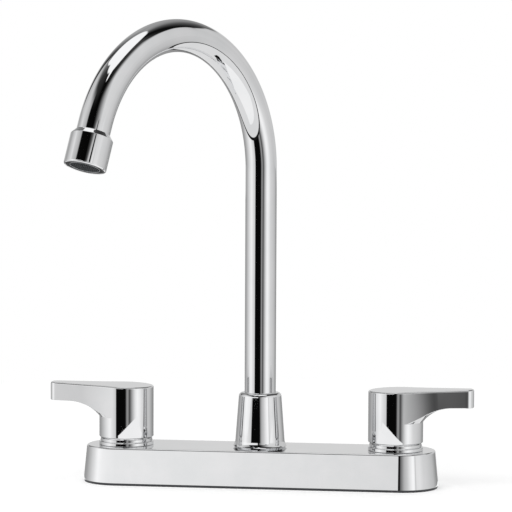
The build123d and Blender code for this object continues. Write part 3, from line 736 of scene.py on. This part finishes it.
def lever_columns():
    """Outline points with their outward normals, counter-clockwise from the tip's middle."""
    side_offset = LEVER_LENGTH * sin(LEVER_TAPER) + LEVER_TIP_WIDTH / 2 * cos(LEVER_TAPER)
    reach = HUB_RADIUS + LEVER_BLEND
    lean = acos((LEVER_BLEND + side_offset) / reach) + LEVER_TAPER
    blend = Vector((reach * sin(lean), reach * cos(lean)))
    corner_x = LEVER_LENGTH - LEVER_TIP_CORNER
    corner_y = (side_offset - LEVER_TIP_CORNER - sin(LEVER_TAPER) * corner_x) / cos(LEVER_TAPER)
    half = [(Vector((LEVER_LENGTH, 0.0)), Vector((1.0, 0.0)))]
    for step in range(13):
        angle = (pi / 2 - LEVER_TAPER) * step / 12
        normal = Vector((cos(angle), sin(angle)))
        half.append((Vector((corner_x, corner_y)) + normal * LEVER_TIP_CORNER, normal))
    side = Vector((sin(LEVER_TAPER), cos(LEVER_TAPER)))
    start, end = half[-1][0], blend - side * LEVER_BLEND
    half += [(start.lerp(end, step / 12), side) for step in range(1, 12)]
    for step in range(25):
        angle = LEVER_TAPER + (lean - LEVER_TAPER) * step / 24
        normal = Vector((sin(angle), cos(angle)))
        half.append((blend - normal * LEVER_BLEND, normal))
    back = []
    first = pi / 2 - lean
    for step in range(1, 100):
        angle = first + (2 * pi - 2 * first) * step / 100
        normal = Vector((cos(angle), sin(angle)))
        back.append((normal * HUB_RADIUS, normal))
    flip = [(Vector((p.x, -p.y)), Vector((n.x, -n.y))) for p, n in half[:0:-1]]
    return half, back, flip


half, back, flip = lever_columns()
print("outline:", len(half), "columns on half of the lever,", len(back), "round the back")

# %% [markdown]
# The lever is widest at the hub, and every radial line from the axis meets the outline once,
# so the hollow underside is a fan of such lines. On the back of the hub there is no
# lever: those steps fall on one point there, and merging doubles removes them.

# %% Lever handle: the skin
def underside(radius):
    """Height of the turned hollow below the lever at a distance from the axis."""
    inward = max(LEVER_ARCH_REACH - radius, 0.0)
    return LEVER_UNDERSIDE - LEVER_ARCH + sqrt(LEVER_ARCH ** 2 - inward ** 2)


def handle_mesh(name, side):
    columns = [(p, n, True) for p, n in half] + [(p, n, False) for p, n in back]
    columns += [(p, n, True) for p, n in flip]
    round_way = [p.normalized() for p, n, lever in columns]

    def hub_ring(radius, height):
        return [(way.x * radius, way.y * radius, height) for way in round_way]

    rings = [hub_ring(*corner) for corner in (
        (BOSS_BORE, BOSS_DEPTH), (BOSS_BORE, BOSS_BOTTOM), (BOSS_RADIUS, BOSS_BOTTOM),
        (BOSS_RADIUS, HUB_ROOF), (HUB_BORE, HUB_ROOF), (HUB_BORE, HUB_BOTTOM))]
    for step in range(6):
        angle = -pi / 2 + pi / 2 * step / 5
        rings.append(hub_ring(HUB_RADIUS - FOOT_EDGE * (1 - cos(angle)),
                              HUB_BOTTOM + FOOT_EDGE * (1 + sin(angle))))
    join = underside(HUB_RADIUS)
    rings.append(hub_ring(HUB_RADIUS, join))
    soft = [min(0.4, max(p.length - HUB_RADIUS, 0.0) / 2) if lever else 0.0 for p, n, lever in columns]
    for step in range(1, 15):
        ring = []
        for (p, n, lever), way, edge in zip(columns, round_way, soft):
            radius = HUB_RADIUS + (p.length - edge - HUB_RADIUS) * step / 14
            ring.append((way.x * radius, way.y * radius, underside(radius) if lever else join))
        rings.append(ring)

    def wall_ring(inward, drop):
        ring = []
        for p, n, lever in columns:
            spot = p - n * inward
            ring.append((spot.x, spot.y, HUB_TOP + spot.x * tan(LEVER_RISE) - drop))
        return ring

    rings.append([(p.x, p.y, underside(p.length) + edge if lever else join)
                  for (p, n, lever), edge in zip(columns, soft)])
    for step in range(9):
        angle = pi / 2 * step / 8
        rings.append(wall_ring(HANDLE_EDGE * (1 - cos(angle)), HANDLE_EDGE * (1 - sin(angle))))
    x = side * HALF_SPACING
    rings = [[(x + side * p[0], p[1], p[2]) for p in ring[::side]] for ring in rings]
    return skin(name, rings, capped=True)


# %% [markdown]
# The hole for the grub screw faces the wall behind the sink. A rib carries its thread from
# the hub to the boss inside, so a block is added first and the hole is cut through both.

# %% Lever handle: rib, grub screw hole and finish
def block(name, low, high):
    (a, b, c), (d, e, f) = low, high
    return skin(name, [[(a, b, z), (d, b, z), (d, e, z), (a, e, z)] for z in (c, f)], capped=True)


for side, name in SIDES:
    lever = handle_mesh(f"{name}_handle_cast", side)
    x = side * HALF_SPACING
    cut(lever, block("rib", (x - 4.5, 6.0, 47.5), (x + 4.5, 19.0, 67.0)), "UNION")
    drill = [[(across, y, SCREW_HEIGHT - up) for across, up in circle(SCREW_HOLE, 40, x)]
             for y in (5.0, 22.0)]
    cut(lever, skin("drill", drill, capped=True))
    crisp(lever)
    hand_over(lever, f"{name}_handle", f"{name}_handle", cast_chrome)
    print("closed and outward:", has_outward_faces(lever))

# %% [markdown]
# ## Threads below the sink
# The shanks carry half inch pipe thread with 1.8 mm from turn to turn: one run for the locknut
# and, below a groove, one for the supply line. A thread is one ridge that climbs round the shank.
# Modelling it by hand would be hundreds of faces in a spiral, but Geometry Nodes have a spiral
# curve, and a four sided profile swept along it is the ridge, half sunk in the shank.

# %% Threads
THREAD_PITCH, THREAD_HEIGHT, SHANK_RADIUS = 1.814, 0.45, 10.45


def thread_tree():
    tree, given, math = new_tree("thread_ridge", ["Radius", "Pitch", "Turns", "Ridge"])
    helix = add(tree, "GeometryNodeCurveSpiral", {
        "Resolution": 48, "Rotations": given["Turns"], "Start Radius": given["Radius"],
        "End Radius": given["Radius"], "Height": math("MULTIPLY", given["Pitch"], given["Turns"])})
    ridge = swept(tree, helix.outputs["Curve"], 4, given["Ridge"], **{"Fill Caps": True})
    return end_tree(tree, given, ridge)


ridge_rule = thread_tree()
for side, name in SIDES:
    for run, bottom, top in (("supply", -49.3, -26.8), ("locknut", -23.2, -1.0)):
        thread = grow(f"{name}_{run}_thread", ridge_rule, {
            "Radius": SHANK_RADIUS * MM, "Pitch": THREAD_PITCH * MM, "Turns": (top - bottom) / THREAD_PITCH,
            "Ridge": THREAD_HEIGHT * MM, "Finish": brass})
        turn_mesh(thread, Matrix.Translation((side * HALF_SPACING * MM, 0, bottom * MM)))
        if not has_outward_faces(thread):
            thread.data.flip_normals()
        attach(thread, "base")
        print(f"{thread.name}: {len(thread.data.polygons)} faces")

# %% [markdown]
# ## Studio
# The faucet stands on a wide pale floor. Its material is a plain white that glows a little to the
# camera, to reach paper white, and still darkens where the faucet shades it.

# %% Floor
FLOOR_RADIUS = 700.0
FLOOR_GLOW = 0.34  # light that the floor gives to the camera, on top of what it scatters
floor_finish, tree, shader, place = new_finish("pale_floor", 0.9)
white = ramp(tree, noise(tree, place, 5, 2.0), [(0.3, "#EDEDED"), (0.7, "#EFEFEF")])
tree.links.new(white, shader.inputs["Base Color"])
rays = add(tree, "ShaderNodeLightPath").outputs
shader.inputs["Emission Color"].default_value = linear("#EEEEEE")
tree.links.new(arithmetic(tree, "MULTIPLY", rays["Is Camera Ray"], FLOOR_GLOW),
               shader.inputs["Emission Strength"])
edge = [(*spot, 0.0) for spot in circle(FLOOR_RADIUS, 64)]
floor = piece_from("floor", edge, [list(range(64))])
floor.data.materials.append(floor_finish)
floor.visible_glossy = False
print("floor with a radius of", FLOOR_RADIUS, "mm")

# %% [markdown]
# What the chrome mirrors of it is a small table: white as far as its front edge, which is the
# slanted border low on both hubs, and short behind, so that the ends of the plate mirror the far
# walls. It glows evenly, shows to mirrored rays alone, and the floor shows to all others, so the
# shadow lies on one unbroken floor from every side.

# %% Table
TABLE_RADIUS, TABLE_BACK, TABLE_BACK_WIDTH = 330.0, 32.0, 276.0
MIRRORED_LIGHT = 1.26  # light of the mirrored room, as much above white as chromium takes away
table_finish = new_finish("glowing_table", 0.9, **{
    "Base Color": linear("#000000"), "Specular IOR Level": 0.0,
    "Emission Color": linear("#F4F4F4"), "Emission Strength": MIRRORED_LIGHT})[0]
edge = [(TABLE_RADIUS * cos(radians(turn)), TABLE_RADIUS * sin(radians(turn)), 0.0)
        for turn in range(-130, -41, 2)]
edge += [(side * TABLE_BACK_WIDTH / 2, TABLE_BACK, 0.0) for side in (1, -1)]
table = piece_from("table", edge, [list(range(len(edge)))])
table.data.materials.append(table_finish)
table.visible_camera = table.visible_diffuse = table.visible_shadow = False
print("table reaches", TABLE_RADIUS, "mm to the front and", TABLE_BACK, "mm to the back")

# %% [markdown]
# Chrome shows what stands round it. Every point of a round tube mirrors another direction, so a
# photograph of chrome is a map of its studio: this one has a dark opening in front, just
# below eye level and again high up, a pale band between the two, grey walls, and a
# white lamp in a dark ceiling. It could be built from panels, but a panel's mirror image shifts
# with its distance, and a room without distance can be laid out in plain angles. So the
# world holds it as four layers, each a ramp that runs round the view. Straight down lies the
# floor, bordered by a thin dark line, and a slim dark stand is at the right: it is the narrow
# stripe beside the wide one on the aerator.
#
# Angles round the view are degrees to the right of the camera as the faucet sees it, and
# heights are degrees above the horizon.

# %% Room: the direction of a ray
CAMERA_AZIMUTH = -82.4  # degrees from +X, seen from the faucet
DEEPEST, HIGHEST = -30.0, 90.0  # degrees that the heights run from and to
FLOOR_ENDS = -28.9  # below this height the room is its pale floor
SKIRTING = 2.8  # height of the thin dark line that borders the floor
STAND_SIDES, STAND_ENDS = (23.5, 32.5), (19.0, 24.0)  # degrees to the right, and of height

world = bpy.data.worlds.new("studio")
bpy.context.scene.world = world
world.use_nodes = True
tree = world.node_tree
tree.nodes.clear()
way = add(tree, "ShaderNodeTexCoord").outputs["Generated"]
facing = add(tree, "ShaderNodeVectorRotate", {"Vector": way, "Angle": radians(-CAMERA_AZIMUTH)},
             rotation_type="Z_AXIS")
split = add(tree, "ShaderNodeSeparateXYZ", {"Vector": facing.outputs["Vector"]})
turn = arithmetic(tree, "ARCTAN2", split.outputs["Y"], split.outputs["X"])
rise = arithmetic(tree, "ARCSINE", split.outputs["Z"])
around = spread(tree, turn, (-pi, pi), (-180.0, 180.0))
height = spread(tree, rise, (radians(DEEPEST), radians(HIGHEST)), (DEEPEST, HIGHEST))
share = spread(tree, around, (-180.0, 180.0), (0.0, 1.0))
print("directions run from", DEEPEST, "to", HIGHEST, "degrees of height")

# %% [markdown]
# Ramps answer two questions here: how light a layer is at some angle round the view, and at
# which height it gives way to the next. The second holds a number instead of a colour.
# A layer's upper edge is soft by a few tenths of a degree where the real thing is a panel's rim,
# and by many degrees where light falls off along a wall.


# %% Room: layers and their edges
def round_view(stops):
    """Light of a layer, from (degrees to the right, sRGB grey from 0 to 255) pairs."""
    return ramp(tree, share, [((turn + 180) / 360, "#" + f"{grey:02X}" * 3) for turn, grey in stops])


def edge_height(stops):
    """Height of an edge in degrees, from (degrees to the right, degrees of height) pairs."""
    line = ramp(tree, share, [((turn + 180) / 360, (level - DEEPEST) / (HIGHEST - DEEPEST))
                              for turn, level in stops])
    return spread(tree, line, (0.0, 1.0), (DEEPEST, HIGHEST))


def past(value, edge, soft):
    """0 before an edge and 1 past it, over twice the softness."""
    ends = [arithmetic(tree, operation, edge, soft) for operation in ("SUBTRACT", "ADD")]
    return spread(tree, value, ends, (0.0, 1.0), interpolation_type="SMOOTHSTEP")


def within(value, edges, soft):
    """1 between two edges and 0 outside them."""
    return arithmetic(tree, "SUBTRACT", past(value, edges[0], soft), past(value, edges[1], soft))


def blend_rooms(share_of_second, first, second):
    """Mix of two colours of the room; the colour sockets of a Mix node come after its others."""
    mixer = add(tree, "ShaderNodeMix", {0: share_of_second}, data_type="RGBA")
    for socket, colour in ((6, first), (7, second)):
        if isinstance(colour, str):
            mixer.inputs[socket].default_value = linear(colour)
        else:
            tree.links.new(colour, mixer.inputs[socket])
    return mixer.outputs[2]


below_eye = round_view([
    (-180, 125), (-166, 150), (-150, 150), (-135, 160), (-112, 196), (-96, 220), (-84, 236), (-72, 247),
    (-60, 228), (-43.2, 206), (-42.4, 110), (-41.6, 8), (-3, 8), (0, 50), (4, 138), (8, 148),
    (11, 128), (14, 78), (16, 72), (19, 102), (24, 150), (33, 202), (40, 232), (50, 250), (62, 238),
    (75, 216), (95, 206), (120, 190), (147, 140), (166, 150), (180, 125)])
pale_band = round_view([
    (-180, 203), (-166, 190), (-133, 160), (-112, 200), (-96, 222), (-84, 244), (-76, 253), (-60, 244),
    (-45, 240), (-19, 238), (-11.1, 222), (-10.5, 170), (-10.0, 8), (-5.5, 6), (-3, 100), (0, 125),
    (4, 152), (9, 183), (18, 204), (26, 230), (37, 254), (42, 244), (45, 195), (48, 228), (60, 230),
    (75, 214), (115, 200), (130, 203), (150, 192), (166, 196), (180, 203)])
walls = round_view([
    (-180, 150), (-165, 165), (-143, 40), (-137, 40), (-133, 190), (-100, 212), (-85, 206), (-68, 188),
    (-58, 178), (-54.5, 110), (-52, 10), (0, 6), (8, 56), (17, 110), (24, 140), (31, 172), (38, 192),
    (46, 218), (90, 212), (110, 202), (117, 190), (121, 60), (126, 45), (134, 60), (143, 85),
    (152, 108), (161, 130), (180, 150)])
ceiling = round_view([
    (-180, 155), (-165, 130), (-140, 80), (-120, 110), (-83, 52), (-34, 34), (-12, 6), (2, 8), (15, 24),
    (45, 44), (88, 60), (104, 24), (116, 8), (124, 28), (134, 58), (143, 78), (152, 100), (161, 128),
    (180, 155)])
band_starts = edge_height([(-180, -2), (-100, -2), (-60, -0.3), (-50, 0.95), (-41, 1.3), (-30, 1.65),
                           (-19, 1.88), (-2, 1.9), (5, -0.1), (60, -0.1), (180, -2)])
band_ends = edge_height([(-180, 12), (-135, 16), (-100, 27), (-10, 27), (20, 26), (60, 12), (100, 10),
                         (120, 31), (140, 31), (180, 12)])
ceiling_starts = edge_height([(-180, 47), (0, 47), (40, 50), (85, 50), (98, 45), (106, 41.5), (111, 40),
                              (115, 37), (120, 33), (126, 32), (180, 32)])
ceiling_softness = edge_height([(-180, 8), (85, 8), (100, 3), (108, 2), (180, 2)])
lamp_starts = edge_height([(-180, 63), (-124, 53), (-92, 69), (-20, 69), (-12, 61), (-6, 61), (5, 68),
                           (110, 70), (150, 68), (180, 63)])
room = below_eye
for edge, soft, layer in ((band_starts, 0.12, pale_band), (band_ends, 1.5, walls),
                          (ceiling_starts, ceiling_softness, ceiling), (lamp_starts, 1.2, "#FCFCFC")):
    room = blend_rooms(past(height, edge, soft), room, layer)
room = blend_rooms(past(height, FLOOR_ENDS + SKIRTING, 0.3), "#161616", room)
room = blend_rooms(past(height, FLOOR_ENDS, 0.3), "#DEDEDE", room)
stand = arithmetic(tree, "MULTIPLY", within(around, STAND_SIDES, 1.5), within(height, STAND_ENDS, 0.4))
room = blend_rooms(stand, room, "#141414")
print("room of four layers, a lamp, a floor and a stand,", len(tree.nodes), "nodes")

# %% [markdown]
# Only mirrored rays meet this room, and it is lighter than white by as much as the chromium
# takes away. The camera sees plain white behind the faucet, and everything matt is lit by an
# even white a little below strength one, to which the soft lamp adds the rest.

# %% Room: which rays see it
MATT_LIGHT = 0.8
mirrored, lit, seen = [
    add(tree, "ShaderNodeBackground", {"Color": colour, "Strength": strength}).outputs["Background"]
    for colour, strength in ((room, MIRRORED_LIGHT), (linear("#FFFFFF"), MATT_LIGHT),
                             (linear("#FFFFFF"), 1.0))]
rays = add(tree, "ShaderNodeLightPath").outputs
shiny = arithmetic(tree, "MAXIMUM", rays["Is Glossy Ray"], rays["Is Transmission Ray"])
others = add(tree, "ShaderNodeMixShader", {0: shiny, 1: lit, 2: mirrored})
final = add(tree, "ShaderNodeMixShader",
            {0: rays["Is Camera Ray"], 1: others.outputs["Shader"], 2: seen})
add(tree, "ShaderNodeOutputWorld", {"Surface": final.outputs["Shader"]})
print("camera rays see white, mirrored rays the room")

# %% [markdown]
# One large soft lamp from the upper left gives matt surfaces a side and the floor a
# shadow. Mirrored rays pass it by, because the room above already holds what chrome sees.

# %% Soft lamp
lamp = bpy.data.objects.new("soft_lamp", bpy.data.lights.new("soft_lamp", "AREA"))
lamp.data.shape = "DISK"
lamp.data.size = 0.9
lamp.data.energy = 5.0
lamp.location = (-0.7, -0.9, 1.4)
lamp.rotation_euler = (Vector((0, 0, 0.1)) - lamp.location).to_track_quat("-Z", "Y").to_euler()
lamp.visible_glossy = False
bpy.context.scene.collection.objects.link(lamp)

# %% [markdown]
# ## Camera
# The lens and the place come from edges measured in the photograph: a long lens of 166 mm,
# 1.76 m away, a little to the right and above, with a slight roll.

# %% Camera
SENSOR = 36.0
FOCAL_LENGTH_IN_IMAGE_WIDTHS = 2363.04 / 512
CAMERA_PLACE = Vector((0.230694, -1.743030, 0.276792))
yaw, pitch, roll = radians(7.6555), radians(-3.4560), radians(0.2436)
camera = bpy.data.objects.new("camera", bpy.data.cameras.new("camera"))
camera.data.sensor_width = SENSOR
camera.data.lens = FOCAL_LENGTH_IN_IMAGE_WIDTHS * SENSOR
ahead = Vector((-sin(yaw) * cos(pitch), cos(yaw) * cos(pitch), sin(pitch)))
level = Vector((cos(yaw), sin(yaw), 0.0))
upright = level.cross(ahead)
right = cos(roll) * level + sin(roll) * upright
up = -sin(roll) * level + cos(roll) * upright
camera.matrix_world = Matrix([
    (right[k], up[k], -ahead[k], CAMERA_PLACE[k]) for k in range(3)] + [(0, 0, 0, 1)])
camera.data.clip_start = 0.05
bpy.context.scene.collection.objects.link(camera)
bpy.context.scene.camera = camera
bpy.context.scene.view_settings.view_transform = "Standard"
